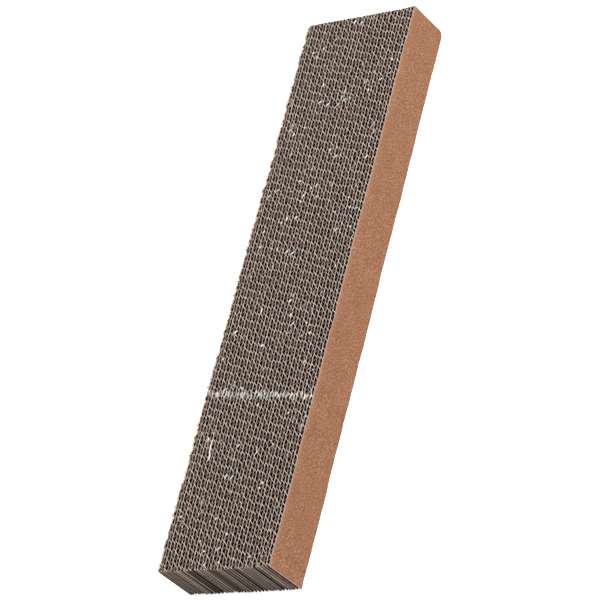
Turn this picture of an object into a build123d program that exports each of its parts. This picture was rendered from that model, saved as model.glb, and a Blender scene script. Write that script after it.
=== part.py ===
from build123d import *

import os
from math import acos, atan2, ceil, cos, hypot, sin
from typing import NamedTuple

# Corrugated cardboard cat scratcher: a slab of double-wall board strips glued face to face, with
# the flutes standing upright, so that their open ends make the scratching surface on top.
# The frame has X along the slab, Z up and its origin at the centre of the underside.

# Slab
pad_length = 480.0
pad_height = 40.0
double_wall_strips = 16

# Papers
facing_thickness = 0.25
middle_thickness = 0.25
medium_thickness = 0.22

# Flutes: pitch along the strip and clear rise between the two liners
c_pitch = 7.88
c_rise = 3.0
b_pitch = 6.39
b_rise = 2.54

# A flute tip's radius, as a share of the radius at which the tips would meet with no flank between
tip_share = 0.7

# Bonds: the starch line at each flute tip, and the glue between one strip and the next
starch_line = 0.02
glue_film = 0.05
glue_inset = 2.0

# Each strip is cut one step back along the fluted web from the strip before it
strip_stagger = 5.3

# Widths that follow
double_wall = 2 * facing_thickness + c_rise + middle_thickness + b_rise
single_wall = 2 * facing_thickness + b_rise
strip_step = double_wall + glue_film
pad_width = double_wall_strips * strip_step + single_wall
kraft_side = -pad_width / 2


class Flute(NamedTuple):
    """One flute size: its pitch, the clear rise between its liners, its tips and its flanks."""

    pitch: float
    rise: float
    tip_radius: float
    flank_slope: float


def flute_of(pitch, rise):
    """A flute whose paper waves from one liner to the other, with its flanks tangent to its tips."""
    swing = rise - 2 * starch_line - medium_thickness
    along = pitch / 2
    tip_radius = tip_share * (along**2 + swing**2) / (4 * swing)
    across = 2 * tip_radius - swing
    flank_slope = atan2(along, across) - acos(2 * tip_radius / hypot(along, across))
    return Flute(pitch, rise, tip_radius, flank_slope)


def tip_arc(flute, number, shift, side):
    """Start, middle and end of one tip's arc, on the upper (1) or lower (-1) side of the paper."""
    slope = flute.flank_slope
    crest = 1 if number % 2 == 0 else -1
    centre_x = number * flute.pitch / 2 + shift
    centre_y = crest * (flute.rise / 2 - starch_line - medium_thickness / 2 - flute.tip_radius)
    radius = flute.tip_radius + crest * side * medium_thickness / 2
    reach = radius * sin(slope)
    shoulder = centre_y + crest * radius * cos(slope)
    return (
        (centre_x - reach, shoulder),
        (centre_x, centre_y + crest * radius),
        (centre_x + reach, shoulder),
    )


def fluted_medium(label, flute, middle_y, shift):
    """A wavy sheet of paper that stands between two liners, cut square at the slab's ends."""
    half_waves = ceil(pad_length / flute.pitch) + 2
    shift = shift % flute.pitch
    with BuildPart() as medium:
        with BuildSketch(Plane((0, middle_y, 0))):
            with BuildLine():
                edges = []
                ends = []
                for side in (1, -1):
                    arcs = [tip_arc(flute, n, shift, side) for n in range(-half_waves, half_waves)]
                    for arc in arcs:
                        edges.append(ThreePointArc(*arc, mode=Mode.PRIVATE))
                    for before, after in zip(arcs, arcs[1:]):
                        edges.append(Line(before[2], after[0], mode=Mode.PRIVATE))
                    ends.append((arcs[0][0], arcs[-1][2]))
                for upper, lower in zip(*ends):
                    edges.append(Line(upper, lower, mode=Mode.PRIVATE))
                add(edges)
            make_face()
            Rectangle(pad_length, flute.rise, mode=Mode.INTERSECT)
        extrude(amount=pad_height)
    medium.part.label = label
    return medium.part


def facings(label, low_y, thickness):
    """The two kraft facings of one strip, whose outsides are its whole thickness apart."""
    low_middle = low_y + facing_thickness / 2
    high_middle = low_y + thickness - facing_thickness / 2
    with BuildPart() as pair:
        with BuildSketch():
            with Locations((0, low_middle), (0, high_middle)):
                Rectangle(pad_length, facing_thickness)
        extrude(amount=pad_height)
    pair.part.label = label
    return pair.part


c_flute = flute_of(c_pitch, c_rise)
b_flute = flute_of(b_pitch, b_rise)

# Double-wall strips, numbered from the side with the open kraft facing
pieces = []
for index in range(double_wall_strips):
    name = f"strip_{index + 1:02d}"
    low_y = kraft_side + index * strip_step
    c_middle = low_y + facing_thickness + c_rise / 2
    b_middle = low_y + double_wall - facing_thickness - b_rise / 2
    step = -index * strip_stagger
    pieces.append(facings(f"{name}_facings", low_y, double_wall))
    pieces.append(fluted_medium(f"{name}_c_flute", c_flute, c_middle, step))
    pieces.append(fluted_medium(f"{name}_b_flute", b_flute, b_middle, step))

# Single-wall strip that closes the far side
closing_low = kraft_side + double_wall_strips * strip_step
closing_middle = closing_low + single_wall / 2
closing_step = -double_wall_strips * strip_stagger
pieces.append(facings("closing_strip_facings", closing_low, single_wall))
pieces.append(fluted_medium("closing_strip_b_flute", b_flute, closing_middle, closing_step))

# Middle liners, one inside each double-wall strip, between its two flutes
first_liner = kraft_side + facing_thickness + c_rise + middle_thickness / 2
with BuildPart() as middle_liners:
    with BuildSketch():
        for index in range(double_wall_strips):
            with Locations((0, first_liner + index * strip_step)):
                Rectangle(pad_length, middle_thickness)
    extrude(amount=pad_height)
middle_liners.part.label = "middle_liners"
pieces.append(middle_liners.part)

# Glue films between the strips, held back from the cut edges
first_film = kraft_side + double_wall + glue_film / 2
with BuildPart() as glue_films:
    with BuildSketch(Plane.XY.offset(glue_inset)):
        for index in range(double_wall_strips):
            with Locations((0, first_film + index * strip_step)):
                Rectangle(pad_length - 2 * glue_inset, glue_film)
    extrude(amount=pad_height - 2 * glue_inset)
glue_films.part.label = "glue_films"
pieces.append(glue_films.part)

os.makedirs("parts", exist_ok=True)
for piece in pieces:
    export_step(piece, f"parts/{piece.label}.step", write_pcurves=False)

print(f"{len(pieces)} nodes, slab {pad_length:.1f} x {pad_width:.2f} x {pad_height:.1f} mm")
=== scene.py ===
"""Dresses the corrugated cardboard cat scratcher.

The slab is a stack of double-wall board strips that stand on edge. Each paper of each strip is
rebuilt as a thin closed sheet with torn rims, at the place where the frame holds it, and gets a
fibrous paper finish. Lengths are in millimetres and angles in degrees, unless a comment says
otherwise. Meshes, lamps and the camera are in metres.
"""

import logging
import math
from dataclasses import dataclass, field
from enum import Enum, IntEnum

import bpy
import numpy as np
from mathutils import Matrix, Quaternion, Vector


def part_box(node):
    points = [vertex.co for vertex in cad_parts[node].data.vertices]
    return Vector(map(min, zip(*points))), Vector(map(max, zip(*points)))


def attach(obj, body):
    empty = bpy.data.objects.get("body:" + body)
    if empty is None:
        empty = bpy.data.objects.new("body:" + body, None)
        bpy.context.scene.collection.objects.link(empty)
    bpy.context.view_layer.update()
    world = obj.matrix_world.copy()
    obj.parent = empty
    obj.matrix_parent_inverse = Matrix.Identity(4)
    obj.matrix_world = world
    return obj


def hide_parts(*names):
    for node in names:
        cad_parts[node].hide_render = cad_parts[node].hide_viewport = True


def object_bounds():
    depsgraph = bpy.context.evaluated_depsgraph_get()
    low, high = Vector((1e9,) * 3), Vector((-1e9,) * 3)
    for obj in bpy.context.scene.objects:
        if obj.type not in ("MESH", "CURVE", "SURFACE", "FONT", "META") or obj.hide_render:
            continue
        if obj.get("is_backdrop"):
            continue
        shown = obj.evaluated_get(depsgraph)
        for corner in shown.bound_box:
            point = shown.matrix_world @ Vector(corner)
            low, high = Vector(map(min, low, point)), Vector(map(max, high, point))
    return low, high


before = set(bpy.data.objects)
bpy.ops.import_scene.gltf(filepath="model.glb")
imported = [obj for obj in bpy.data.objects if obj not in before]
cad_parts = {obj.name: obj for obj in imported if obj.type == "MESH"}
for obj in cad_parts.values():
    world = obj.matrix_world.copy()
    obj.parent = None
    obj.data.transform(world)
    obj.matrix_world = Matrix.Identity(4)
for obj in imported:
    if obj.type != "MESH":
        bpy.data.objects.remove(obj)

log = logging.getLogger("cat_scratcher")

MM = 0.001
BODY = "root"
UV_NAME = "OFBake"

# A sheet's columns beside a cut end: the burr reaches from the first to the second, and is gone
# at the third
END_BURR = (0.0, 0.15, 0.9)

# The value that a noise has on average
NOISE_MIDDLE = 0.5

Colour = tuple[float, float, float]
Place = tuple[float, float, float]
Range = tuple[float, float]
Socket = bpy.types.NodeSocket

WHITE: Colour = (1.0, 1.0, 1.0)


def box_mm(node: str) -> tuple[np.ndarray, np.ndarray]:
    """Gives the lowest and highest corners of a frame node, in millimetres."""
    low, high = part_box(node)
    return np.array(low) / MM, np.array(high) / MM


def srgb(red: int, green: int, blue: int) -> Colour:
    """Turns a colour as a screen shows it, from 0 to 255, into scene-linear values."""
    shares = (channel / 255 for channel in (red, green, blue))
    return tuple(s / 12.92 if s <= 0.04045 else ((s + 0.055) / 1.055) ** 2.4 for s in shares)


def smooth_step(share: np.ndarray) -> np.ndarray:
    """Eases a share from 0 to 1 with level ends."""
    held = np.clip(share, 0.0, 1.0)
    return held * held * (3.0 - 2.0 * held)


def faded(away: np.ndarray, reach: np.ndarray | float, held: float = 0.0) -> np.ndarray:
    """Eases from 1, within a held share of the reach, down to 0 a whole reach further out."""
    return smooth_step(1.0 + held - away / reach)


def rounding(radius: np.ndarray | float, away: np.ndarray) -> np.ndarray:
    """Gives how much a rounded corner takes off at a distance from the side that it runs into."""
    past = np.clip(radius - away, 0.0, radius)
    return radius - np.sqrt(radius**2 - past**2)


def placed(name: str, data: bpy.types.ID) -> bpy.types.Object:
    """Puts a mesh, a lamp or a camera in the scene.

    Args:
        name: The object's name.
        data: What it is made of.

    Returns:
        The new object.
    """
    made = bpy.data.objects.new(name, data)
    bpy.context.scene.collection.objects.link(made)
    return made


def faced(thing: bpy.types.Object, place: Vector, way: Vector, roll: float = 0.0) -> None:
    """Stands a lamp or a camera somewhere and turns it to what it faces.

    Args:
        thing: The lamp or the camera.
        place: Where it stands.
        way: The way that it faces.
        roll: How far it is turned about that way.
    """
    thing.location = place
    thing.rotation_mode = "QUATERNION"
    spin = Quaternion((0.0, 0.0, 1.0), math.radians(roll))
    thing.rotation_quaternion = way.to_track_quat("-Z", "Y") @ spin


class Paper(Enum):
    """What the board is made of, by the record's material slot."""

    FACING = "kraft_facing"
    MEDIUM = "fluting_medium"
    MIDDLE = "middle_liner"
    GLUE = "glue"


class FluteSize(Enum):
    """The two flute sizes of the board, by their pitch."""

    C = 7.88
    B = 6.39


class OpenSide(IntEnum):
    """The side of a sheet that is an open face of the slab, by the sign of its normal."""

    RIGHT = -1
    NEITHER = 0
    LEFT = 1


class Mark(Enum):
    """How far a point is a cut rim, torn paper or darkened by painted shade inside the slab, by the
    name of the mesh's values.
    """

    CUT = "cut"
    TORN = "torn"
    # Painted shade: the faces inside the slab are darkened towards near black, where shade in the
    # flutes would fall
    PAINTED_SHADE = "painted_shade"


@dataclass
class Centreline:
    """The line that a sheet of paper follows, seen from above.

    Attributes:
        points: Places along the line, in order of X.
        normals: The unit vector to the sheet's left at each place.
        free: How far each place is from what holds it, from 0 at a liner to 1 at mid-flank.
    """

    points: np.ndarray
    normals: np.ndarray
    free: np.ndarray

    def clipped(self, low: float, high: float) -> "Centreline":
        """Cuts the line square at two places along X.

        Args:
            low: X of the near cut.
            high: X of the far cut.

        Returns:
            The part of the line between the cuts.
        """
        x = self.points[:, 0]
        inset = np.array(END_BURR)
        inside = x[(x > low + inset[-1]) & (x < high - inset[-1])]
        wanted = np.concatenate((low + inset, inside, high - inset[::-1]))
        y = np.interp(wanted, x, self.points[:, 1])
        normals = [np.interp(wanted, x, self.normals[:, axis]) for axis in (0, 1)]
        free = np.interp(wanted, x, self.free)
        return Centreline(np.stack((wanted, y), axis=1), np.stack(normals, axis=1), free)

    def pushed(self, push: np.ndarray) -> "Centreline":
        """Moves the line across the slab and turns its normals with it.

        Args:
            push: How far each place moves along Y.

        Returns:
            The moved line.
        """
        still = np.zeros_like(push)
        points = self.points + np.stack((still, push), axis=1)
        slope = np.gradient(push, self.points[:, 0])
        normals = self.normals - np.stack((slope * self.normals[:, 1], still), axis=1)
        lengths = np.linalg.norm(normals, axis=1, keepdims=True)
        return Centreline(points, normals / lengths, self.free)

    def run(self) -> np.ndarray:
        """Gives the length of paper from the line's start to each of its places."""
        steps = np.linalg.norm(np.diff(self.points, axis=0), axis=1)
        return np.concatenate(([0.0], np.cumsum(steps)))


@dataclass(frozen=True)
class Wave:
    """A flute's wave: round tips joined by straight flanks.

    Attributes:
        size: The flute size, which gives the pitch.
        swing: How far the paper's middle swings from one side to the other.
        shift: X of a crest.
        tip_share: The tips' radius, as a share of the radius that leaves no flank.
        arc_steps: How many straight steps make a tip.
    """

    size: FluteSize
    swing: float
    shift: float
    tip_share: float = 0.7
    arc_steps: int = 4

    def line(self, low: float, high: float, middle_y: float) -> Centreline:
        """Follows the wave from one end of the strip to the other.

        Args:
            low: X at the near end.
            high: X at the far end.
            middle_y: Y at the middle of the wave.

        Returns:
            The wave's line, which reaches a little past both ends.
        """
        half_pitch = self.size.value / 2
        radius = self.tip_share * (half_pitch**2 + self.swing**2) / (4 * self.swing)
        across = 2 * radius - self.swing
        reach = math.hypot(half_pitch, across)
        slope = math.atan2(half_pitch, across) - math.acos(2 * radius / reach)
        turns = np.linspace(-slope, slope, self.arc_steps + 1)
        numbers = np.arange(
            math.floor((low - self.shift) / half_pitch) - 1,
            math.ceil((high - self.shift) / half_pitch) + 2,
        )[:, None]
        crest = np.where(numbers % 2 == 0, 1.0, -1.0)
        each = np.ones_like(crest)
        tip_x = self.shift + numbers * half_pitch
        x = np.hstack((tip_x + radius * np.sin(turns), tip_x + half_pitch / 2))
        y = np.hstack((crest * (self.swing / 2 - radius + radius * np.cos(turns)), 0.0 * each))
        normal_x = np.hstack((crest * np.sin(turns), crest * math.sin(slope)))
        normal_y = np.hstack((each * np.cos(turns), each * math.cos(slope)))
        points = np.stack((x.ravel(), y.ravel() + middle_y), axis=1)
        normals = np.stack((normal_x.ravel(), normal_y.ravel()), axis=1)
        return Centreline(points, normals, 1.0 - np.abs(y.ravel()) / (self.swing / 2))


@dataclass(frozen=True)
class Ripples:
    """A smooth wandering of papers that lie side by side, made of a few sine waves.

    Attributes:
        seed: Where the draw of the waves starts.
        reach: How far a wave goes to each side, if it were the only one.
        longest: The longest wavelength.
        shortest: The shortest wavelength.
        count: How many waves there are.
    """

    seed: int
    reach: float
    longest: float
    shortest: float
    count: int = 7

    def at(self, points: np.ndarray) -> np.ndarray:
        """Gives the wandering at places seen from above.

        Args:
            points: The places, one per row.

        Returns:
            How far the paper wanders at each place.
        """
        draw = np.random.default_rng(self.seed)
        lengths = np.geomspace(self.longest, self.shortest, self.count)
        turns = draw.uniform(0.0, math.tau, self.count)
        starts = draw.uniform(0.0, math.tau, self.count)
        total = np.zeros(len(points))
        for length, turn, start in zip(lengths, turns, starts):
            along = points[:, 0] * math.cos(turn) + points[:, 1] * math.sin(turn)
            total += np.sin(math.tau * along / length + start)
        return self.reach * total / math.sqrt(self.count)


@dataclass
class Handling:
    """What cutting, strapping and handling did to the slab.

    Attributes:
        low: The slab's lowest corner.
        high: The slab's highest corner.
        blade_heading: The way that the blade ran over the top, from X.
        strap_left: How far from the near end the strap lay at the left side.
        strap_right: How far from the near end it lay at the kraft side.
        strap_half_width: The range of half widths of its mark on a paper.
        strap_held: How far from its line it pressed hardest, as a share of the half width.
        strap_wander: How far a paper's mark may be off the strap's line.
        rounded_foot_right: The radius of the far end's foot at the kraft side.
        rounded_foot_left: Its radius at the left side.
        rounded_far_top: The radius of the far end's top edge.
        rounded_far_right: The radius of the far upright corner at the kraft side.
        rounded_far_left: The radius of the far upright corner at the left side.
        rounded_near_left: The radius of the near upright corner at the left side.
        corner_flat: How much of a radius is left out, where its arc would be steepest.
        corner_reach: How far in a bumped corner is felt, in radii.
        uneven_near: How far the papers' near ends may be out of line.
        uneven_far: How far their far ends may be out of line.
        sway_along: How the rims sway along the slab.
        sway_across: How they sway across it.
        uneven_cut: How uneven the cut of the top is.
    """

    low: np.ndarray
    high: np.ndarray
    blade_heading: float = -46.0
    strap_left: float = 147.5
    strap_right: float = 136.0
    strap_half_width: Range = (1.2, 2.0)
    strap_held: float = 0.8
    strap_wander: float = 1.7
    rounded_foot_right: float = 7.0
    rounded_foot_left: float = 3.0
    rounded_far_top: float = 2.5
    rounded_far_right: float = 2.6
    rounded_far_left: float = 5.5
    rounded_near_left: float = 2.0
    corner_flat: float = 0.1
    corner_reach: float = 2.2
    uneven_near: float = 0.22
    uneven_far: float = 0.1
    sway_along: Ripples = Ripples(seed=11, reach=0.30, longest=90.0, shortest=14.0)
    sway_across: Ripples = Ripples(seed=12, reach=0.28, longest=110.0, shortest=12.0)
    uneven_cut: Ripples = Ripples(seed=13, reach=0.12, longest=60.0, shortest=5.0)

    def leftness(self, y: np.ndarray) -> np.ndarray:
        """Gives how far across the slab a place is, from 0 at the kraft side to 1 at the left."""
        return (y - self.low[1]) / (self.high[1] - self.low[1])

    def ends(self, seed: int) -> tuple[float, float]:
        """Gives where a sheet ends, as the strips aren't quite level with one another.

        Args:
            seed: Where the draw of the sheet's uneven ends starts.

        Returns:
            X at the sheet's near and far ends.
        """
        draw = np.random.default_rng(seed)
        near = draw.uniform(-self.uneven_near, self.uneven_near)
        far = draw.uniform(-self.uneven_far, self.uneven_far)
        return self.low[0] + near, self.high[0] - far

    def bumped(self, points: np.ndarray) -> np.ndarray:
        """Gives how far the bumped upright corners push the papers in, across the slab.

        Args:
            points: Places seen from above, one per row.

        Returns:
            The push along Y at each place.
        """
        to_near, to_far = points[:, 0] - self.low[0], self.high[0] - points[:, 0]
        to_right, to_left = points[:, 1] - self.low[1], self.high[1] - points[:, 1]
        push = np.zeros(len(points))
        for radius, to_end, to_side, inward in (
            (self.rounded_far_right, to_far, to_right, 1.0),
            (self.rounded_far_left, to_far, to_left, -1.0),
            (self.rounded_near_left, to_near, to_left, -1.0),
        ):
            bend = rounding(radius, to_end + self.corner_flat * radius)
            push += inward * bend * np.clip(1.0 - to_side / (self.corner_reach * radius), 0.0, 1.0)
        return push

    def foot_lift(self, points: np.ndarray) -> np.ndarray:
        """Gives how far the bumped far end of the underside is raised.

        Args:
            points: Places seen from above, one per row.

        Returns:
            The height of the underside at each place.
        """
        share = self.leftness(points[:, 1])
        change = self.rounded_foot_left - self.rounded_foot_right
        radius = self.rounded_foot_right + change * share
        return rounding(radius, self.high[0] - points[:, 0])

    def top_drop(self, points: np.ndarray) -> np.ndarray:
        """Gives how far the top is below full height, by uneven cutting and the bumped far edge."""
        bump = rounding(self.rounded_far_top, self.high[0] - points[:, 0])
        return np.abs(self.uneven_cut.at(points)) + bump

    def strap(self, points: np.ndarray, draw: np.random.Generator) -> np.ndarray:
        """Gives how hard the strap pressed on a sheet, from 0 to 1.

        Args:
            points: Places seen from above, one per row.
            draw: The sheet's own random numbers.

        Returns:
            The pressing at each place.
        """
        share = self.leftness(points[:, 1])
        middle = self.low[0] + self.strap_right + (self.strap_left - self.strap_right) * share
        off = draw.uniform(-self.strap_wander, self.strap_wander)
        away = np.abs(points[:, 0] - middle - off)
        return faded(away, draw.uniform(*self.strap_half_width), self.strap_held)


@dataclass
class Tears:
    """Small stretches of rim that are torn and folded over, drawn at random along a sheet.

    Attributes:
        per_metre: How many there are on a metre of paper.
        half_width: The range of their half widths along the paper.
        held: How far from its middle a tear is whole, as a share of the half width.
        fold: The range of their folds.
        rawness: The range of how torn they are, up to 1.
    """

    per_metre: float
    half_width: Range = (0.5, 1.3)
    held: float = 0.4
    fold: Range = (25.0, 65.0)
    rawness: Range = (0.75, 1.0)

    def along(self, run: np.ndarray, draw: np.random.Generator) -> tuple[np.ndarray, np.ndarray]:
        """Draws the tears of one sheet.

        Args:
            run: The length of paper up to each column of the sheet.
            draw: The sheet's own random numbers.

        Returns:
            The signed fold at each column, in radians, and how torn it is, from 0 to 1.
        """
        fold = np.zeros(len(run))
        torn = np.zeros(len(run))
        for _ in range(draw.poisson(self.per_metre * run[-1] * MM)):
            middle = draw.uniform(0.0, run[-1])
            weight = faded(np.abs(run - middle), draw.uniform(*self.half_width), self.held)
            angle = math.radians(draw.uniform(*self.fold)) * draw.choice((-1.0, 1.0))
            fold = np.where(weight > np.abs(fold) / math.pi, weight * angle, fold)
            torn = np.maximum(torn, weight * draw.uniform(*self.rawness))
        return fold, torn


@dataclass
class Mesh:
    """Points, faces and values of the sheets that make up one piece.

    Attributes:
        points: Arrays of places.
        faces: Arrays of four-cornered faces.
        values: Arrays of the points' values, by mark.
        maps: Arrays of map coordinates, one per face corner.
        count: How many points there are so far.
    """

    points: list[np.ndarray] = field(default_factory=list)
    faces: list[np.ndarray] = field(default_factory=list)
    values: dict[Mark, list[np.ndarray]] = field(default_factory=dict)
    maps: list[np.ndarray] = field(default_factory=list)
    count: int = 0

    def add(
        self,
        points: np.ndarray,
        faces: np.ndarray,
        values: dict[Mark, np.ndarray],
        corner_map: np.ndarray,
    ) -> None:
        """Adds one sheet.

        Args:
            points: The sheet's places.
            faces: Its faces, counted from its own first point.
            values: Its values at each point, by mark.
            corner_map: The map coordinates of each face's corners, within the sheet's own square.
        """
        self.points.append(points)
        self.faces.append(faces + self.count)
        for mark, value in values.items():
            self.values.setdefault(mark, []).append(value)
        self.maps.append(corner_map)
        self.count += len(points)

    def build(self, name: str) -> bpy.types.Object:
        """Makes the piece.

        Args:
            name: The piece's name.

        Returns:
            The new object, in the scene.
        """
        points = np.concatenate(self.points) * MM
        faces = np.concatenate(self.faces)
        mesh = bpy.data.meshes.new(name)
        mesh.vertices.add(len(points))
        mesh.vertices.foreach_set("co", points.astype(np.float32).ravel())
        mesh.loops.add(faces.size)
        mesh.loops.foreach_set("vertex_index", faces.astype(np.int32).ravel())
        mesh.polygons.add(len(faces))
        starts = np.arange(0, faces.size, faces.shape[1], dtype=np.int32)
        mesh.polygons.foreach_set("loop_start", starts)
        mesh.update(calc_edges=True)
        mesh.polygons.foreach_set("use_smooth", np.ones(len(faces), dtype=bool))
        for mark, values in self.values.items():
            layer = mesh.attributes.new(mark.value, "FLOAT", "POINT")
            layer.data.foreach_set("value", np.concatenate(values).astype(np.float32))
        rows = len(self.maps)
        stacked = [corner + np.array((0.0, row)) for row, corner in enumerate(self.maps)]
        flat = np.concatenate(stacked).reshape(-1, 2) / np.array((1.0, rows))
        layer = mesh.uv_layers.new(name=UV_NAME)
        layer.uv.foreach_set("vector", flat.astype(np.float32).ravel())
        mesh.validate()
        return placed(name, mesh)


@dataclass(frozen=True)
class Trim:
    """How the rims of one of the papers came out of the cutting, and how they wear.

    Attributes:
        burr: The thickness of the cut rims.
        cut: How pale they are, from 0 to 1.
        end_cut: How pale the cut ends are.
        strap_tear: How much the strap tears them. What isn't torn there is pressed down.
        worn: How frayed they are all along.
        drag_least: The share of the burr that is left where the blade ran along the paper.
        free_burr: The share of the burr at mid-flank, where nothing held the paper.
    """

    burr: float
    cut: float
    end_cut: float
    strap_tear: float = 1.0
    worn: float = 0.0
    drag_least: float = 1.0
    free_burr: float = 0.0


@dataclass(frozen=True)
class Section:
    """A sheet's section, up its left side and down its right.

    Attributes:
        offset: Each point's distance from the sheet's middle.
        depth: Its distance from the rim that it belongs to.
        top: Whether that is the top rim.
    """

    offset: np.ndarray
    depth: np.ndarray
    top: np.ndarray


@dataclass(frozen=True)
class Wear:
    """What happened to a sheet's top rim, column by column.

    Attributes:
        fold: Its signed fold, in radians.
        torn: How torn it is, from 0 to 1.
        pressed: How far it is pressed down, from 0 to 1.
    """

    fold: np.ndarray
    torn: np.ndarray
    pressed: np.ndarray


@dataclass
class Sheet:
    """One sheet of paper on edge, with burred rims at its top and underside.

    Attributes:
        line: The line that it follows.
        thickness: The paper's thickness.
        trim: How its rims came out of the cutting.
        handling: What was done to the slab.
        tears: Its torn places.
        seed: Where its own random draw starts.
        patch: How many columns the strap folds as one flake.
        exposed: Which side of it is an open face of the slab.
        scuff: X at the two ends of a scuffed stretch of rim, if there is one.
        strap_fold: The largest fold of a flake under the strap.
        strap_grip: How hard the strap has to press to fold a flake.
        strap_press: How far the strap presses a rim down.
        strap_rawness: The range of how torn its flakes are, up to 1.
        worn_lean: How far a worn rim leans in from an open face.
        worn_sway: How far its flakes fold, as a share of those under the strap.
        worn_least: How torn its least torn flakes are.
        frayed_half: Half the thickness of a torn rim.
        frayed_lift: How far torn fibres stand up.
        torn_held: How far below the rim the paper is wholly torn, as a share of the hinge's depth.
        hinge: How far below the rim it folds.
        rim_share: The width of a rim's very edge, as a share of its burr.
        burr_height: How far below the rim the burr is widest.
        neck: How far below the rim it has run out.
        shade: How far below the rim torn fibres have run out.
        bend_depth: How far below the top rim it may bend as it sways.
        sway_top: How far below the top rim it no longer sways.
        sway_foot: How far above the underside it no longer sways.
        end_bare: The range of how much light the open ends let in, which lifts the painted shade
            there, from 0 to 1.
        end_bare_reach: How far in from the ends that light comes.
        end_paleness: The range of how pale the cut ends are, as a share of the trim's.
        fuzz: How fuzzy a rim is.
        worn_fuzz: How much fuzzier a worn rim is.
        fibre_rise: How far above the slab its fibres may stand.
    """

    line: Centreline
    thickness: float
    trim: Trim
    handling: Handling
    tears: Tears
    seed: int
    patch: int
    exposed: OpenSide = OpenSide.NEITHER
    scuff: Range | None = None
    strap_fold: float = 38.0
    strap_grip: float = 0.2
    strap_press: float = 0.7
    strap_rawness: Range = (0.6, 1.0)
    worn_lean: float = 6.0
    worn_sway: float = 0.35
    worn_least: float = 0.7
    frayed_half: float = 0.6
    frayed_lift: float = 0.45
    torn_held: float = 0.3
    hinge: float = 2.6
    rim_share: float = 0.7
    burr_height: float = 0.15
    neck: float = 0.35
    shade: float = 0.7
    bend_depth: float = 7.0
    sway_top: float = 14.0
    sway_foot: float = 9.0
    end_bare: Range = (0.0, 0.24)
    end_bare_reach: float = 5.0
    end_paleness: Range = (0.15, 1.0)
    fuzz: float = 0.05
    worn_fuzz: float = 0.30
    fibre_rise: float = 0.2

    def section(self) -> Section:
        """Lays out the sheet's section.

        Returns:
            The section, with a burr at each rim.
        """
        body, rim = self.thickness / 2, self.trim.burr / 2
        lower = [(self.rim_share * rim, 0.0), (rim, self.burr_height)]
        lower += [(body, depth) for depth in (self.neck, self.shade, self.hinge)]
        upper = [(body, self.bend_depth), *reversed(lower)]
        left = [(*place, False) for place in lower] + [(*place, True) for place in upper]
        right = [(-offset, depth, top) for offset, depth, top in reversed(left)]
        return Section(*(np.array(values) for values in zip(*left, *right)))

    def add_to(self, mesh: Mesh) -> None:
        """Works out the sheet's shape and adds it to a piece.

        Args:
            mesh: The piece that the sheet belongs to.
        """
        draw = np.random.default_rng(self.seed)
        section = self.section()
        wear = self.wear(draw)
        points = self.shape(section, wear)
        fuzz = self.fuzz + self.worn_fuzz * self.trim.worn
        at_rim = (section.depth <= self.burr_height)[None, :, None]
        points += draw.normal(0.0, fuzz, points.shape) * at_rim
        highest = self.handling.high[2] + self.fibre_rise
        points[:, :, 2] = np.clip(points[:, :, 2], 0.0, highest)
        values = self.marks(section, wear, draw)
        columns, ring = points.shape[:2]
        faces = self.faces(columns, ring)
        mesh.add(points.reshape(-1, 3), faces, values, self.corner_map(columns, ring))

    def wear(self, draw: np.random.Generator) -> Wear:
        """Works out where the rim is torn, scuffed or pressed down by the strap.

        Args:
            draw: The sheet's own random numbers.

        Returns:
            The rim's wear.
        """
        places = self.line.points
        columns = len(places)
        fold, torn = self.tears.along(self.line.run(), draw)
        flakes = draw.uniform(-1.0, 1.0, columns // self.patch + 1)
        flakes = np.repeat(flakes, self.patch)[:columns]
        lean = math.radians(self.strap_fold) * flakes
        strap = self.handling.strap(places, draw) * (self.exposed is OpenSide.NEITHER)
        fold = np.where(strap > self.strap_grip, strap * lean, fold)
        raw = self.trim.strap_tear * draw.uniform(*self.strap_rawness)
        torn = np.maximum(torn, strap * raw)
        if self.scuff:
            scuffed = (places[:, 0] > self.scuff[0]) & (places[:, 0] < self.scuff[1])
            fold = np.where(scuffed, lean, fold)
            torn = np.where(scuffed, 1.0, torn)
        inward = self.exposed.value * math.radians(self.worn_lean)
        fold = fold + self.trim.worn * (self.worn_sway * lean - inward)
        frayed = self.worn_least + (1.0 - self.worn_least) * np.abs(flakes)
        torn = np.maximum(torn, self.trim.worn * frayed)
        return Wear(fold, torn, strap * (1.0 - self.trim.strap_tear))

    def shape(self, section: Section, wear: Wear) -> np.ndarray:
        """Stands the section up along the line, folds its top rim and lets it sway.

        Args:
            section: The sheet's section.
            wear: What happened to its top rim.

        Returns:
            The sheet's places, by column and then round the section.
        """
        depth, top = section.depth, section.top
        places, normals = self.line.points, self.line.normals
        drop = self.handling.top_drop(places) + self.strap_press * wear.pressed
        rim_top = self.handling.high[2] - drop + self.frayed_lift * wear.torn
        rim_foot = self.handling.foot_lift(places)
        swing = np.where(top & (depth < self.hinge), 1.0, 0.0)
        angle = wear.fold[:, None] * swing
        arm = (self.hinge - depth)[None, :] * swing
        spread = self.spread(section, wear)
        across = spread * np.cos(angle) + arm * np.sin(angle)
        folded = arm * (np.cos(angle) - 1.0) - spread * np.sin(angle)
        z = np.where(top, rim_top[:, None] - depth + folded, rim_foot[:, None] + depth)
        near_rim = faded(depth, np.where(top, self.sway_top, self.sway_foot))
        sway_x = self.handling.sway_along.at(places)[:, None] * near_rim
        sway_y = self.handling.sway_across.at(places)[:, None] * near_rim
        x = places[:, :1] + normals[:, :1] * across + sway_x
        y = places[:, 1:] + normals[:, 1:] * across + sway_y
        return np.stack((x, y, z), axis=2)

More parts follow.
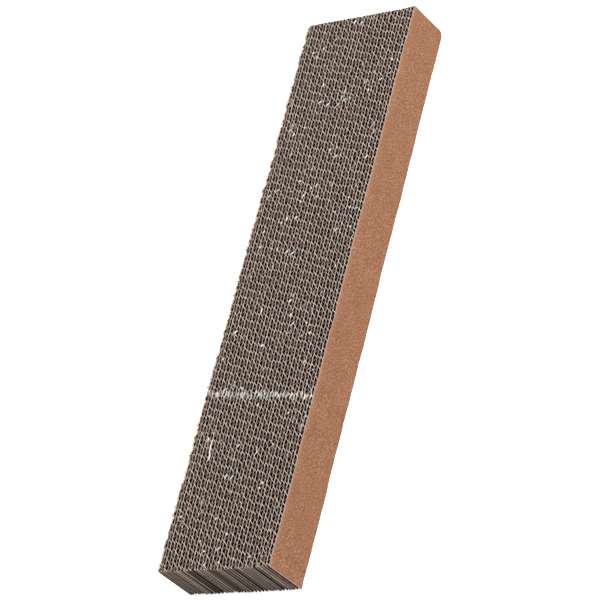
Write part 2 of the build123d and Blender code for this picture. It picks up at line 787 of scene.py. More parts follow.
    def spread(self, section: Section, wear: Wear) -> np.ndarray:
        """Gives how far each point is from the sheet's middle, with its burrs and torn fibres.

        Args:
            section: The sheet's section.
            wear: What happened to its top rim.

        Returns:
            The signed distances, by column and then round the section.
        """
        body, away = self.thickness / 2, np.abs(section.offset)
        swell = np.where(away > body, (away - body) * self.dragged()[:, None], 0.0)
        at_top = section.top & (section.depth < self.shade)
        frayed = wear.torn[:, None] * np.where(at_top, self.frayed_half, 0.0)
        ends = self.at_ends() * self.trim.burr / 2
        plain = np.minimum(away, body) + swell
        return np.sign(section.offset) * np.maximum(plain, np.maximum(frayed, ends))

    def marks(self, section: Section, wear: Wear, draw: np.random.Generator) -> dict[Mark, np.ndarray]:
        """Works out which points are cut, torn or darkened by painted shade inside the slab.

        Args:
            section: The sheet's section.
            wear: What happened to its top rim.
            draw: The sheet's own random numbers.

        Returns:
            The values at each point, by mark.
        """
        x = self.line.points[:, :1]
        to_end = np.minimum(x - x[0], x[-1] - x)
        # The open ends let light in, which lifts the painted shade over a short reach
        bare = draw.uniform(*self.end_bare) * faded(to_end, self.end_bare_reach)
        end_cut = self.trim.end_cut * draw.uniform(*self.end_paleness)
        rim_cut = self.trim.cut * (section.depth <= self.burr_height)
        torn_depth = faded(section.depth, self.hinge, self.torn_held)
        values = {
            Mark.CUT: np.maximum(rim_cut * self.dragged()[:, None], end_cut * self.at_ends()),
            Mark.TORN: wear.torn[:, None] * np.where(section.top, torn_depth, 0.0),
            # Painted shade on every face that isn't an open face of the slab
            Mark.PAINTED_SHADE: (1.0 - bare) * (np.sign(section.offset) != self.exposed.value),
        }
        return {mark: value.ravel() for mark, value in values.items()}

    def at_ends(self) -> np.ndarray:
        """Gives 1 for the columns at the two cut ends and 0 for the others."""
        columns = len(self.line.points)
        return np.isin(np.arange(columns), (0, 1, columns - 2, columns - 1)).astype(float)[:, None]

    def dragged(self) -> np.ndarray:
        """Gives how much of a burr the blade left, most where it went square through the paper.

        Returns:
            The share at each column, from 0 to 1.
        """
        heading = math.radians(self.handling.blade_heading)
        square = self.line.normals @ np.array((math.cos(heading), math.sin(heading)))
        torn_up = np.maximum(square**2, self.trim.free_burr * self.line.free**2)
        return self.trim.drag_least + (1.0 - self.trim.drag_least) * torn_up

    @staticmethod
    def faces(columns: int, ring: int) -> np.ndarray:
        """Joins the columns into a closed sheet.

        Args:
            columns: How many columns there are.
            ring: How many points a column has.

        Returns:
            The faces, as four point numbers each.
        """
        first, around = np.meshgrid(np.arange(columns - 1) * ring, np.arange(ring), indexing="ij")
        here, after = first + around, first + (around + 1) % ring
        sides = np.stack((here, after, after + ring, here + ring), axis=-1)
        up = np.arange(ring // 2 - 1)
        near = np.stack((ring - 1 - up, ring - 2 - up, up + 1, up), axis=-1)
        far = near[:, ::-1] + (columns - 1) * ring
        return np.concatenate((sides.reshape(-1, 4), near, far))

    @staticmethod
    def corner_map(
        columns: int, ring: int, rows: int = 3, margin: float = 0.02, cap: float = 0.004
    ) -> np.ndarray:
        """Unrolls the sheet into rows of a unit square, one under another.

        Args:
            columns: How many columns there are.
            ring: How many points a column has.
            rows: How many rows the sheet is cut into.
            margin: The gap beside each row, as a share of its height.
            cap: The size of the small square that holds the cut ends.

        Returns:
            Map coordinates of each corner of each face, in the order of the faces.
        """
        per_row = math.ceil((columns - 1) / rows)
        column, around = np.meshgrid(np.arange(columns - 1), np.arange(ring), indexing="ij")
        row, place = np.divmod(column, per_row)
        along = np.stack((place, place, place + 1, place + 1), axis=-1) / per_row
        round_it = np.stack((around, around + 1, around + 1, around), axis=-1) / ring
        upward = (row[..., None] + margin + (1.0 - 2 * margin) * round_it) / rows
        sides = np.stack((along, upward), axis=-1).reshape(-1, 4, 2)
        caps = np.zeros((2 * (ring // 2 - 1), 4, 2))
        caps[:, :, 0] = (0.0, 0.0, cap, cap)
        caps[:, :, 1] = (0.0, cap, cap, 0.0)
        return np.concatenate((sides, caps))


class Tree:
    """A node tree that is being wired, with short calls to add and join its nodes."""

    def __init__(self, tree: bpy.types.NodeTree) -> None:
        """Starts with an empty tree."""
        self.tree = tree
        tree.nodes.clear()

    def node(self, kind: str, inputs: dict | None = None, **settings: object) -> bpy.types.Node:
        """Adds a node.

        Args:
            kind: The node's type.
            inputs: Values, or sockets to link from, by input name or number.
            settings: Other properties of the node.

        Returns:
            The new node.
        """
        made = self.tree.nodes.new(kind)
        for name, value in settings.items():
            setattr(made, name, value)
        for key, value in (inputs or {}).items():
            socket = made.inputs[key]
            if isinstance(value, Socket):
                self.tree.links.new(value, socket)
            else:
                socket.default_value = (*value, 1.0) if socket.type == "RGBA" else value
        return made

    def math(self, operation: str, *values: Socket | float, clamp: bool = False) -> Socket:
        """Adds a sum of two or three values, whose result may be held between 0 and 1."""
        inputs = dict(enumerate(values))
        return self.node("ShaderNodeMath", inputs, operation=operation, use_clamp=clamp).outputs[0]

    def mix(self, share: Socket | float, first: Socket, second: Socket, blend: str = "MIX") -> Socket:
        """Mixes a share of the second colour into the first."""
        inputs = {0: share, 6: first, 7: second}
        return self.node("ShaderNodeMix", inputs, data_type="RGBA", blend_type=blend).outputs[2]

    def noise(self, places: Socket, scale: float, detail: float = 2.0) -> Socket:
        """Adds a cloudy noise from 0 to 1, by its clouds in a metre and its finer layers."""
        inputs = {"Vector": places, "Scale": scale, "Detail": detail}
        return self.node("ShaderNodeTexNoise", inputs).outputs["Fac"]

    def between(self, value: Socket, low: float, high: float) -> Socket:
        """Stretches the part of a value between two limits to run from 0 to 1."""
        return self.node("ShaderNodeMapRange", {0: value, 1: low, 2: high}).outputs[0]


def new_group(name: str, inputs: dict[str, Colour | float], outputs: dict[str, str]) -> Tree:
    """Starts a shader node group with named sockets.

    Args:
        name: The group's name.
        inputs: Default values by name. A number makes a value socket and a tuple a colour socket.
        outputs: Socket types by name.

    Returns:
        The group's tree, with no nodes yet.
    """
    group = bpy.data.node_groups.new(name, "ShaderNodeTree")
    for label, default in inputs.items():
        coloured = isinstance(default, tuple)
        kind = "NodeSocketColor" if coloured else "NodeSocketFloat"
        socket = group.interface.new_socket(label, in_out="INPUT", socket_type=kind)
        socket.default_value = (*default, 1.0) if coloured else default
    for label, kind in outputs.items():
        group.interface.new_socket(label, in_out="OUTPUT", socket_type=kind)
    return Tree(group)


@dataclass
class PaperEffects:
    """The effects that all the papers share, as shader node groups.

    Attributes:
        grain_scale: How fine the mottling is, in clouds per metre, as all the scales are.
        grain_weight: How much of it there is.
        broad_scale: How fine the broad clouds are.
        broad_weight: How much of them there is.
        cloud_height: How far the clouds stand up, beside the streaks.
        streak_scale: How fine the streaks are.
        streak_squeeze: How their places are squeezed along each axis, which draws them out.
        pale_scale: How fine the pale specks are.
        pale_limits: Where their noise begins to show and is whole.
        dark_scale: How fine the dark specks are.
        dark_limits: Where their noise begins to show and is whole.
        roughness: The least roughness.
        streak_roughness: How much rougher a streak may be.
        rim_scale: How fine the unevenness of the cut rims is.
        rim_limits: Where its noise begins to show and is whole.
    """

    grain_scale: float = 800.0
    grain_weight: float = 2.6
    broad_scale: float = 110.0
    broad_weight: float = 0.4
    cloud_height: float = 0.5
    streak_scale: float = 2600.0
    streak_squeeze: Place = (0.22, 1.0, 0.8)
    pale_scale: float = 700.0
    pale_limits: Range = (0.70, 0.76)
    dark_scale: float = 560.0
    dark_limits: Range = (0.72, 0.74)
    roughness: float = 0.78
    streak_roughness: float = 0.2
    rim_scale: float = 500.0
    rim_limits: Range = (0.1, 0.45)

    def __post_init__(self) -> None:
        """Builds both groups once."""
        self.fibre = self.build_fibre()
        self.rims = self.build_rims()

    def build_fibre(self) -> bpy.types.NodeTree:
        """Builds pressed paper fibre: clouds, fine streaks, and pale and dark specks.

        Returns:
            The node group.
        """
        colours = {"Color": WHITE, "Pale": WHITE, "Dark": WHITE}
        amounts = {"Cloud": 0.2, "Streak": 0.2, "Speck": 0.3}
        outputs = {
            "Color": "NodeSocketColor",
            "Height": "NodeSocketFloat",
            "Roughness": "NodeSocketFloat",
        }
        tree = new_group("paper_fibre", {**colours, **amounts}, outputs)
        given = tree.node("NodeGroupInput").outputs
        places = tree.node("ShaderNodeTexCoord").outputs["Object"]

        grains = tree.math("MULTIPLY", tree.noise(places, self.grain_scale), self.grain_weight)
        broad = tree.noise(places, self.broad_scale, detail=3.0)
        broad = tree.math("MULTIPLY", broad, self.broad_weight)
        average = NOISE_MIDDLE * (self.grain_weight + self.broad_weight)
        clouds = tree.math("SUBTRACT", tree.math("ADD", broad, grains), average)
        lift = tree.math("MULTIPLY", clouds, given["Cloud"], clamp=True)
        sink = tree.math("MULTIPLY", clouds, -1.0)
        sink = tree.math("MULTIPLY", sink, given["Cloud"], clamp=True)
        mottled = tree.mix(sink, tree.mix(lift, given["Color"], given["Pale"]), given["Dark"])

        squeeze = {"Vector": places, "Scale": self.streak_squeeze}
        drawn_out = tree.node("ShaderNodeMapping", squeeze).outputs[0]
        streaks = tree.noise(drawn_out, self.streak_scale, detail=3.0)
        level = tree.math("SUBTRACT", streaks, NOISE_MIDDLE)
        level = tree.math("MULTIPLY_ADD", level, given["Streak"], 1.0)
        shade = tree.node("ShaderNodeCombineColor", {0: level, 1: level, 2: level}).outputs[0]
        toned = tree.mix(1.0, mottled, shade, "MULTIPLY")

        pale = self.specks(tree, places, self.pale_scale, self.pale_limits)
        dark = self.specks(tree, places, self.dark_scale, self.dark_limits)
        pale = tree.math("MULTIPLY", pale, given["Speck"], clamp=True)
        dark = tree.math("MULTIPLY", dark, given["Speck"], clamp=True)
        specked = tree.mix(dark, tree.mix(pale, toned, given["Pale"]), given["Dark"])
        rough = tree.math("MULTIPLY", streaks, self.streak_roughness)
        results = {
            "Color": specked,
            "Height": tree.math("ADD", streaks, tree.math("MULTIPLY", clouds, self.cloud_height)),
            "Roughness": tree.math("ADD", self.roughness, rough),
        }
        tree.node("NodeGroupOutput", results)
        return tree.tree

    @staticmethod
    def specks(tree: Tree, places: Socket, scale: float, limits: Range) -> Socket:
        """Scatters specks where a noise is strongest."""
        return tree.between(tree.noise(places, scale, detail=1.0), *limits)

    def build_rims(self) -> bpy.types.NodeTree:
        """Builds the paler look of cut rims and torn paper, and the painted shade that darkens faces
        inside the slab.

        Returns:
            The node group.
        """
        inputs = {"Color": WHITE, "Painted Shade Color": WHITE, "Cut Color": WHITE, "Torn Color": WHITE}
        tree = new_group("cut_and_torn_rims", inputs, {"Color": "NodeSocketColor"})
        given = tree.node("NodeGroupInput").outputs
        places = tree.node("ShaderNodeTexCoord").outputs["Object"]
        cut, torn, painted_shade = (
            tree.node("ShaderNodeAttribute", attribute_name=mark.value).outputs["Fac"]
            for mark in (Mark.CUT, Mark.TORN, Mark.PAINTED_SHADE)
        )
        # Painted shade: faces inside the slab are mixed towards the near-black painted shade colour
        shaded = tree.mix(painted_shade, given["Color"], given["Painted Shade Color"])
        uneven = tree.between(tree.noise(places, self.rim_scale), *self.rim_limits)
        cut_share = tree.math("MULTIPLY", cut, uneven, clamp=True)
        rimmed = tree.mix(cut_share, shaded, given["Cut Color"])
        tree.node("NodeGroupOutput", {"Color": tree.mix(torn, rimmed, given["Torn Color"])})
        return tree.tree


@dataclass(frozen=True)
class RimFinish:
    """The colours of a paper's cut and torn rims, and of the painted shade on its faces away from the
    open faces of the slab.

    Attributes:
        painted_shade: Its painted shade colour, near black, for its faces inside the slab.
        cut: The colour of its cut rims.
        torn: The colour of its torn fibres.
    """

    painted_shade: Colour
    cut: Colour
    torn: Colour


@dataclass(frozen=True)
class PaperFinish:
    """The finish of one of the papers, or of the glue.

    Attributes:
        name: The material's name.
        colour: The colour of its faces.
        pale: The colour of its pale specks.
        dark: The colour of its dark specks.
        rims: The colours of its rims and of the painted shade on its faces inside the slab, if it has
            them.
        cloud: How strongly it is clouded.
        streak: How strongly it is streaked.
        speck: How strongly it is specked.
        bump: How rough it feels.
        bump_depth: How deep that roughness is.
        specular: How strongly it reflects.
    """

    name: str
    colour: Colour
    pale: Colour
    dark: Colour
    rims: RimFinish | None = None
    cloud: float = 0.2
    streak: float = 0.25
    speck: float = 0.35
    bump: float = 0.3
    bump_depth: float = 0.04
    specular: float = 0.2

    def material(self, effects: PaperEffects) -> bpy.types.Material:
        """Makes the material.

        Args:
            effects: The shared effects.

        Returns:
            The material.
        """
        made = bpy.data.materials.new(self.name)
        made.use_nodes = True
        tree = Tree(made.node_tree)
        paper = {
            "Color": self.colour,
            "Pale": self.pale,
            "Dark": self.dark,
            "Cloud": self.cloud,
            "Streak": self.streak,
            "Speck": self.speck,
        }
        fibre = tree.node("ShaderNodeGroup", paper, node_tree=effects.fibre).outputs
        colour = fibre["Color"]
        if self.rims:
            rims = {
                "Color": colour,
                # Painted shade colour for the faces inside the slab
                "Painted Shade Color": self.rims.painted_shade,
                "Cut Color": self.rims.cut,
                "Torn Color": self.rims.torn,
            }
            colour = tree.node("ShaderNodeGroup", rims, node_tree=effects.rims).outputs["Color"]
        rough = {
            "Strength": self.bump,
            "Distance": self.bump_depth * MM,
            "Height": fibre["Height"],
        }
        surface = {
            "Base Color": colour,
            "Roughness": fibre["Roughness"],
            "Specular IOR Level": self.specular,
            "Normal": tree.node("ShaderNodeBump", rough).outputs["Normal"],
        }
        shader = tree.node("ShaderNodeBsdfPrincipled", surface).outputs["BSDF"]
        tree.node("ShaderNodeOutputMaterial", {"Surface": shader})
        return made


class Stock:
    """The papers and the glue in stock: a material for each of them."""

    FINISHES: dict[Paper, PaperFinish] = {
        Paper.FACING: PaperFinish(
            name="kraft_facing",
            colour=srgb(169, 117, 85),
            pale=srgb(212, 176, 150),
            dark=srgb(112, 72, 50),
            rims=RimFinish(
                # The first colour is painted shade, near black, for the faces inside the slab
                painted_shade=srgb(30, 10, 6), cut=srgb(210, 166, 144), torn=srgb(240, 228, 214)
            ),
            cloud=0.85,
            streak=0.18,
            speck=0.75,
        ),
        Paper.MEDIUM: PaperFinish(
            name="fluting_medium",
            colour=srgb(205, 194, 182),
            pale=srgb(205, 192, 178),
            dark=srgb(82, 64, 52),
            rims=RimFinish(
                # The first colour is painted shade, near black, for the faces inside the slab
                painted_shade=srgb(16, 8, 5), cut=srgb(238, 218, 202), torn=srgb(248, 245, 240)
            ),
        ),
        Paper.MIDDLE: PaperFinish(
            name="middle_liner",
            colour=srgb(200, 195, 186),
            pale=srgb(210, 206, 198),
            dark=srgb(92, 84, 76),
            rims=RimFinish(
                # The first colour is painted shade, near black, for the faces inside the slab
                painted_shade=srgb(16, 10, 8), cut=srgb(248, 240, 230), torn=srgb(250, 248, 244)
            ),
        ),
        Paper.GLUE: PaperFinish(
            name="dried_glue",
            colour=srgb(214, 208, 194),
            pale=srgb(232, 228, 220),
            dark=srgb(170, 160, 140),
            cloud=0.35,
        ),
    }

    def __init__(self) -> None:
        """Makes the shared effects and one material for each paper."""
        effects = PaperEffects()
        self.materials = {
            paper: finish.material(effects) for paper, finish in self.FINISHES.items()
        }

    def dress(self, piece: bpy.types.Object, paper: Paper, *nodes: str) -> None:
        """Gives a piece its paper, and puts it in the place of its frame nodes.

        Args:
            piece: The piece.
            paper: What it is made of.
            nodes: The frame nodes that it stands for.
        """
        piece.data.materials.append(self.materials[paper])
        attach(piece, BODY)
        if nodes:
            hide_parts(*nodes)
        log.info("%s: %d faces", piece.name, len(piece.data.polygons))


@dataclass
class Board:
    """What all the strips share: their papers, their slab and what was done to it.

    Attributes:
        handling: What was done to the slab.
        stock: The papers in stock.
        facing: The facings' thickness.
        middle: The middle liners' thickness.
        medium: The fluted mediums' thickness.
        facing_trim: The rims of the facings inside the slab.
        right_trim: The rims of the facing on the kraft side.
        left_trim: The rims of the facing on the left side.
        middle_trim: The rims of the middle liners.
        c_trim: The rims of the C flutes.
        b_trim: The rims of the B flutes.
        stagger: How far each strip is cut back along the web from the one before it.
        liner_step: The length of a flat sheet's columns.
        worn_step: Their length where its rims are worn.
        end_step: Their length near the far end.
        end_reach: How far from the far end that holds.
        liner_patch: How many columns of a flat sheet fold as one flake.
        medium_patch: How many columns of a fluted sheet do.
        tears: The torn places of the sheets inside the slab.
        whole: Those of the sheets at its open sides, which have none.
        rims: The lines of the fluted sheets so far, seen from above.
    """

    handling: Handling
    stock: Stock
    facing: float = 0.25
    middle: float = 0.25
    medium: float = 0.22
    facing_trim: Trim = Trim(burr=0.26, cut=0.8, end_cut=1.0)
    right_trim: Trim = Trim(burr=0.7, cut=1.0, end_cut=1.0, worn=0.15)
    left_trim: Trim = Trim(burr=0.8, cut=1.0, end_cut=1.0, worn=1.0)
    middle_trim: Trim = Trim(burr=0.30, cut=0.95, end_cut=1.0)
    c_trim: Trim = Trim(
        burr=0.44, cut=1.0, end_cut=0.3, strap_tear=0.35, drag_least=0.15, free_burr=0.5
    )
    b_trim: Trim = Trim(
        burr=0.34, cut=1.0, end_cut=0.3, strap_tear=0.35, drag_least=0.12, free_burr=0.5
    )
    stagger: float = 5.3
    liner_step: float = 2.4
    worn_step: float = 1.2
    end_step: float = 0.7
    end_reach: float = 8.0
    liner_patch: int = 2
    medium_patch: int = 6
    tears: Tears = field(default_factory=lambda: Tears(per_metre=3.0))
    whole: Tears = field(default_factory=lambda: Tears(per_metre=0.0))
    rims: list[np.ndarray] = field(default_factory=list)

    def liner(
        self,
        middle_y: float,
        seed: int,
        thickness: float,
        trim: Trim,
        exposed: OpenSide = OpenSide.NEITHER,
        scuff: Range | None = None,
    ) -> Sheet:
        """Makes a flat sheet along the slab.

        Args:
            middle_y: Where it stands, across the slab.
            seed: Where its random draw starts.
            thickness: The paper's thickness.
            trim: How its rims came out of the cutting.
            exposed: Which side of it is an open face of the slab.
            scuff: X at the two ends of a scuffed stretch of rim, if there is one.

        Returns:
            The sheet.
        """
        near, far = self.handling.ends(seed)
        step = self.worn_step if trim.worn else self.liner_step
        flat = np.arange(near, far - self.end_reach, step)
        foot = np.arange(far - self.end_reach, far, self.end_step)
        x = np.concatenate((flat, foot, [far]))
        points = np.stack((x, np.full_like(x, middle_y)), axis=1)
        normals = np.tile((0.0, 1.0), (len(x), 1))
        line = Centreline(points, normals, np.zeros_like(x)).clipped(near, far)
        return Sheet(
            line=line.pushed(self.handling.bumped(line.points)),
            thickness=thickness,
            trim=trim,
            handling=self.handling,
            tears=self.tears if exposed is OpenSide.NEITHER else self.whole,
            seed=seed,
            patch=self.liner_patch,
            exposed=exposed,
            scuff=scuff,
        )

    def fluting(self, node: str, size: FluteSize, step: int, seed: int) -> Sheet:
        """Makes a fluted sheet in the place of its frame node.

        Args:
            node: The frame node.
            size: The flute size.
            step: How many strips the sheet is from the kraft side.
            seed: Where its random draw starts.

        Returns:
            The sheet.
        """
        low, high = box_mm(node)
        middle_y = (low[1] + high[1]) / 2
        shift = -step * self.stagger % size.value
        wave = Wave(size, high[1] - low[1] - self.medium, shift)
        near, far = self.handling.ends(seed)
        line = wave.line(near, far, middle_y).clipped(near, far)
        to_side = min(middle_y - self.handling.low[1], self.handling.high[1] - middle_y)
        return Sheet(
            line=line.pushed(self.handling.bumped(line.points)),
            thickness=self.medium,
            trim=self.c_trim if size is FluteSize.C else self.b_trim,
            handling=self.handling,
            tears=self.whole if to_side < size.value / 2 else self.tears,
            seed=seed,
            patch=self.medium_patch,
        )

    def facings(self, node: str, seed: int) -> None:
        """Builds and dresses the two facings of a strip.

        Args:
            node: Their frame node.
            seed: Where their random draw starts.
        """
        low, high = box_mm(node)
        sides = [OpenSide.NEITHER, OpenSide.NEITHER]
        if low[1] < self.handling.low[1] + self.facing:
            sides[0] = OpenSide.RIGHT
        if high[1] > self.handling.high[1] - self.facing:
            sides[1] = OpenSide.LEFT
        trims = {
            OpenSide.RIGHT: self.right_trim,
            OpenSide.NEITHER: self.facing_trim,
            OpenSide.LEFT: self.left_trim,
        }
        middles = (low[1] + self.facing / 2, high[1] - self.facing / 2)
        mesh = Mesh()
        for number, (middle_y, exposed) in enumerate(zip(middles, sides)):
            sheet = self.liner(middle_y, seed + number, self.facing, trims[exposed], exposed)
            sheet.add_to(mesh)
        self.stock.dress(mesh.build(f"{node}_paper"), Paper.FACING, node)

    def flute(self, node: str, size: FluteSize, step: int, seed: int) -> None:
        """Builds and dresses one fluted medium.

        Args:
            node: Its frame node.
            size: Its flute size.
            step: How many strips it is from the kraft side.
            seed: Where its random draw starts.
        """
        mesh = Mesh()
        sheet = self.fluting(node, size, step, seed)
        sheet.add_to(mesh)
        self.rims.append(sheet.line.points)
        self.stock.dress(mesh.build(f"{node}_paper"), Paper.MEDIUM, node)


@dataclass
class Strip:
    """One double-wall strip: two facings, a C flute and a B flute.

    Attributes:
        board: What all the strips share.
        number: Its number, from 1 at the kraft side.
        seeds_apart: How far its random draws start from those of the next strip.
        c_seed: How far the C flute's draw starts from the facings'.
        b_seed: How far the B flute's draw starts from the facings'.
    """

    board: Board
    number: int
    seeds_apart: int = 100
    c_seed: int = 10
    b_seed: int = 20

    def build(self) -> None:
        """Builds the strip's papers, apart from its middle liner."""
        name = f"strip_{self.number:02d}"
        seed = self.seeds_apart * self.number
        step = self.number - 1
        self.board.facings(f"{name}_facings", seed)
        self.board.flute(f"{name}_c_flute", FluteSize.C, step, seed + self.c_seed)
        self.board.flute(f"{name}_b_flute", FluteSize.B, step, seed + self.b_seed)


@dataclass
class ClosingStrip:
    """The single-wall strip that closes the left side.

    Attributes:
        board: What all the strips share.
        strips: How many double-wall strips there are before it.
        facing_seed: Where the random draw of its facings starts.
        flute_seed: Where that of its flute starts.
    """

    board: Board
    strips: int
    facing_seed: int = 9000
    flute_seed: int = 9010

    def build(self) -> None:
        """Builds the strip's papers."""
        self.board.facings("closing_strip_facings", self.facing_seed)
        self.board.flute("closing_strip_b_flute", FluteSize.B, self.strips, self.flute_seed)


@dataclass
class MiddleLiners:
    """The greyish liners between the two flutes of each double-wall strip.

    Attributes:
        board: What all the strips share.
        strips: How many double-wall strips there are.
        seed: Where the random draw of the first liner starts.
        scuffed_strip: The number of the strip whose liner is scuffed.
        scuff: X at the two ends of the scuffed stretch.
    """

    board: Board
    strips: int
    seed: int = 7000
    scuffed_strip: int = 14
    scuff: Range = (-150.6, -132.3)

    def build(self) -> None:
        """Builds all the middle liners as one piece, as they are one node in the frame."""
        thickness, trim = self.board.middle, self.board.middle_trim
        low, high = box_mm("middle_liners")
        first = low[1] + thickness / 2
        step = (high[1] - low[1] - thickness) / (self.strips - 1)
        mesh = Mesh()
        for number in range(self.strips):
            scuff = self.scuff if number + 1 == self.scuffed_strip else None
            middle_y, seed = first + number * step, self.seed + number
            self.board.liner(middle_y, seed, thickness, trim, scuff=scuff).add_to(mesh)
        self.board.stock.dress(mesh.build("middle_liners_paper"), Paper.MIDDLE, "middle_liners")


@dataclass
class Slivers:
    """Slivers that the cutting tore loose, each still rooted in the rim of a flute.

    Attributes:
        board: What the strips share.
        name: The piece's name.
        count: How many slivers there are.
        seed: Where their random draw starts.
        length: The range of their lengths.
        width: The range of their widths.
        curl: The largest turn from root to tip.
        stray: How far they lie from the blade's heading.
        thickness: Their thickness.
        root_depth: How far below the top they are rooted.
        rise: How far they rise from there before they lie over.
        rise_share: The share of their length that rises.
        tip_rise: How far their tips may stand up beyond that.
        taper: The part of an arch, from 0 to 1, that their width follows from root to tip.
        rawness: The range of how torn they look, up to 1.
        stations: How many cross-sections make one.
    """

    board: Board
    name: str
    count: int
    seed: int
    length: Range
    width: Range
    curl: float
    stray: float = 24.0
    thickness: float = 0.12
    root_depth: float = 0.6
    rise: float = 0.85
    rise_share: float = 0.35
    tip_rise: float = 0.5
    taper: Range = (0.15, 0.9)
    rawness: Range = (0.9, 1.0)
    stations: int = 7

    def build(self) -> None:
        """Builds all the slivers as one piece."""
        draw = np.random.default_rng(self.seed)
        # The flutes of the first and the last strip keep their rims whole
        inner = self.board.rims[2:-1]
        mesh = Mesh()
        for _ in range(self.count):
            rim = inner[int(draw.integers(len(inner)))]
            self.add_sliver(mesh, rim[int(draw.integers(len(rim)))], draw)
        self.board.stock.dress(mesh.build(self.name), Paper.MEDIUM)

    def add_sliver(self, mesh: Mesh, root: np.ndarray, draw: np.random.Generator) -> None:
        """Adds one sliver that rises from a rim and lies over to one side.

        Args:
            mesh: The piece.
            root: Where it is rooted, seen from above.
            draw: The slivers' random numbers.
        """
        handling = self.board.handling
        length, width = draw.uniform(*self.length), draw.uniform(*self.width)
        turn = math.radians(draw.uniform(-self.curl, self.curl))
        way = math.radians(draw.normal(handling.blade_heading, self.stray))
        share = np.linspace(0.0, 1.0, self.stations)
        heading = way + turn * (share - 0.5)
        steps = length / (self.stations - 1) * np.stack((np.cos(heading), np.sin(heading)), axis=1)
        sways = (handling.sway_along, handling.sway_across)
        sway = np.array([ripples.at(root[None, :])[0] for ripples in sways])
        middle = root + sway + np.cumsum(steps, axis=0) - steps[0]
        side = np.stack((-np.sin(heading), np.cos(heading)), axis=1)
        start, stop = self.taper
        arch = np.sin(math.pi * (start + (stop - start) * share))
        half = (width / 2 * arch)[:, None]
        low = handling.high[2] - self.root_depth + self.rise * smooth_step(share / self.rise_share)
        low = low + draw.uniform(0.0, self.tip_rise) * share**2
        high = low + self.thickness
        left, right = middle + half * side, middle - half * side
        edges = ((left, low), (left, high), (right, high), (right, low))
        corners = [np.column_stack(edge) for edge in edges]
        points = np.stack(corners, axis=1).reshape(-1, 3)
        plain = np.zeros(len(points))
        torn = plain + draw.uniform(*self.rawness)
        values = {Mark.CUT: plain, Mark.TORN: torn, Mark.PAINTED_SHADE: plain}
        columns, ring = self.stations, len(corners)
        faces = Sheet.faces(columns, ring)
        mesh.add(points, faces, values, Sheet.corner_map(columns, ring))


@dataclass
class GlueFilms:
    """The dried glue between the strips, which stays as the frame holds it.

    Attributes:
        stock: The papers and the glue in stock.
        node: The films' frame node.
    """

    stock: Stock
    node: str = "glue_films"

    def build(self) -> None:
        """Gives the films their dried look."""
        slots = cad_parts[self.node].data.materials
        slots.clear()
        slots.append(self.stock.materials[Paper.GLUE])
        log.info("%s: kept from the frame", self.node)


@dataclass(frozen=True)
class Lamp:
    """A large soft lamp.

    Attributes:
        name: Its name.
        watts: Its power.
        size: How wide its disk is.
        place: Where it hangs.
    """

    name: str
    watts: float
    size: float
    place: Place

    def build(self, aim: Vector) -> None:
        """Hangs the lamp and turns it to what it lights.

        Args:
            aim: What it lights.
        """
        disk = bpy.data.lights.new(self.name, "AREA")
        disk.shape = "DISK"
        disk.size = self.size
        disk.energy = self.watts
        place = Vector(self.place)
        faced(placed(self.name, disk), place, aim - place)


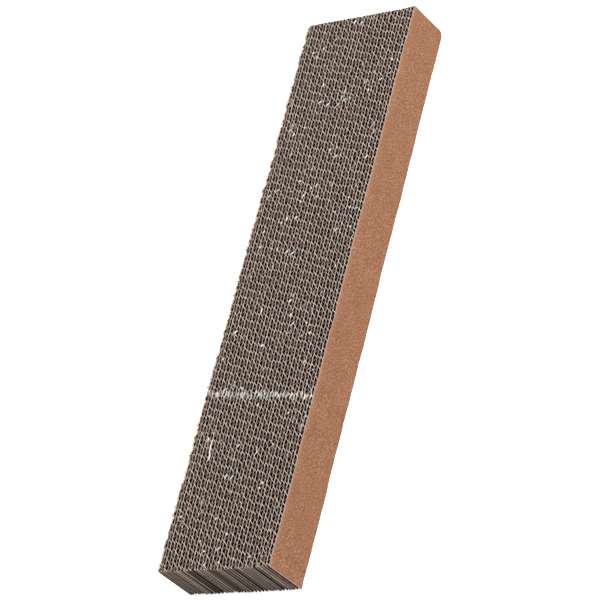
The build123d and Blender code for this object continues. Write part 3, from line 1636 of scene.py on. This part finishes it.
@dataclass(frozen=True)
class Studio:
    """The floor, the light and the camera.

    Attributes:
        azimuth: Where the camera stands round the slab.
        elevation: How high it stands.
        roll: How far it is turned about its own axis.
        distance: How far it is from what it looks at.
        aim: What it looks at.
        lens: Its focal length on a 36 mm sensor.
        floor_size: How wide the floor is.
        floor_white: How white the floor is.
        floor_glow: How much whiter it looks to the camera.
        world_light: How strong the light from all round is.
        lamps: The lamps.
    """

    azimuth: float = -35.447
    elevation: float = 41.471
    roll: float = -49.876
    distance: float = 2.2273
    aim: Place = (-0.00677, 0.0033, 0.02)
    lens: float = 176.594
    floor_size: float = 12.0
    floor_white: float = 0.86
    floor_glow: float = 0.85
    world_light: float = 0.10
    lamps: tuple[Lamp, ...] = (
        Lamp("key_light", watts=179.0, size=1.4, place=(1.90, -1.58, 3.15)),
        Lamp("fill_light", watts=32.0, size=1.0, place=(-2.95, -0.3, 0.45)),
        Lamp("back_light", watts=18.0, size=1.2, place=(-0.40, 3.10, 0.55)),
    )

    def build(self) -> None:
        """Builds everything that isn't part of the object."""
        bpy.context.scene.view_settings.view_transform = "Standard"
        self.build_world()
        self.build_floor()
        for lamp in self.lamps:
            lamp.build(Vector(self.aim))
        self.build_camera()

    def build_world(self) -> None:
        """Lights the slab softly from all round, with white where the camera looks."""
        world = bpy.data.worlds.new("studio_light")
        world.use_nodes = True
        tree = Tree(world.node_tree)
        path = tree.node("ShaderNodeLightPath").outputs
        seen = tree.math("MAXIMUM", path["Is Camera Ray"], path["Is Glossy Ray"])
        seen = tree.math("MAXIMUM", seen, path["Is Transmission Ray"])
        strength = tree.math("MULTIPLY_ADD", seen, 1.0 - self.world_light, self.world_light)
        glow = tree.node("ShaderNodeBackground", {"Color": WHITE, "Strength": strength})
        tree.node("ShaderNodeOutputWorld", {"Surface": glow.outputs[0]})
        bpy.context.scene.world = world

    def build_floor(self) -> None:
        """Lays a plain white floor that keeps the slab's shadow."""
        half = self.floor_size / 2
        corners = [(-half, -half, 0.0), (half, -half, 0.0), (half, half, 0.0), (-half, half, 0.0)]
        mesh = bpy.data.meshes.new("studio_floor")
        mesh.from_pydata(corners, [], [(0, 1, 2, 3)])
        made = bpy.data.materials.new("studio_floor")
        made.use_nodes = True
        tree = Tree(made.node_tree)
        path = tree.node("ShaderNodeLightPath").outputs
        white = (self.floor_white, self.floor_white, self.floor_white)
        matt = tree.node("ShaderNodeBsdfDiffuse", {"Color": white})
        strength = tree.math("MULTIPLY", path["Is Camera Ray"], self.floor_glow)
        glow = tree.node("ShaderNodeEmission", {"Color": WHITE, "Strength": strength})
        both = tree.node("ShaderNodeAddShader", {0: matt.outputs[0], 1: glow.outputs[0]})
        tree.node("ShaderNodeOutputMaterial", {"Surface": both.outputs[0]})
        mesh.materials.append(made)
        placed("studio_floor", mesh)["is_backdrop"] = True

    def build_camera(self) -> None:
        """Stands the camera where the picture was taken from, turned as it was."""
        turn, rise = math.radians(self.azimuth), math.radians(self.elevation)
        out, up = math.cos(rise), math.sin(rise)
        back = Vector((math.sin(turn) * out, -math.cos(turn) * out, up))
        lens = bpy.data.cameras.new("camera")
        lens.lens = self.lens
        camera = placed("camera", lens)
        faced(camera, Vector(self.aim) + back * self.distance, -back, self.roll)
        bpy.context.scene.camera = camera


def main() -> None:
    """Builds the slab strip by strip, then the studio."""
    logging.basicConfig(level=logging.INFO, format="%(message)s")
    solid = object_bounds()
    low, high = (np.array(corner) / MM for corner in solid)
    stock = Stock()
    board = Board(Handling(low, high), stock)
    strips = sum(name.endswith("_c_flute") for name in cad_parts)
    for number in range(1, strips + 1):
        Strip(board, number).build()
    ClosingStrip(board, strips).build()
    MiddleLiners(board, strips).build()
    torn = Slivers(
        board, "torn_slivers", count=64, seed=5000, length=(1.4, 4.8), width=(1.0, 1.9), curl=40.0
    )
    torn.build()
    curled = Slivers(
        board, "curled_fibres", count=16, seed=5100, length=(4.0, 8.0), width=(0.3, 0.45), curl=150.0
    )
    curled.build()
    GlueFilms(stock).build()
    Studio().build()


if __name__ == "__main__":
    main()
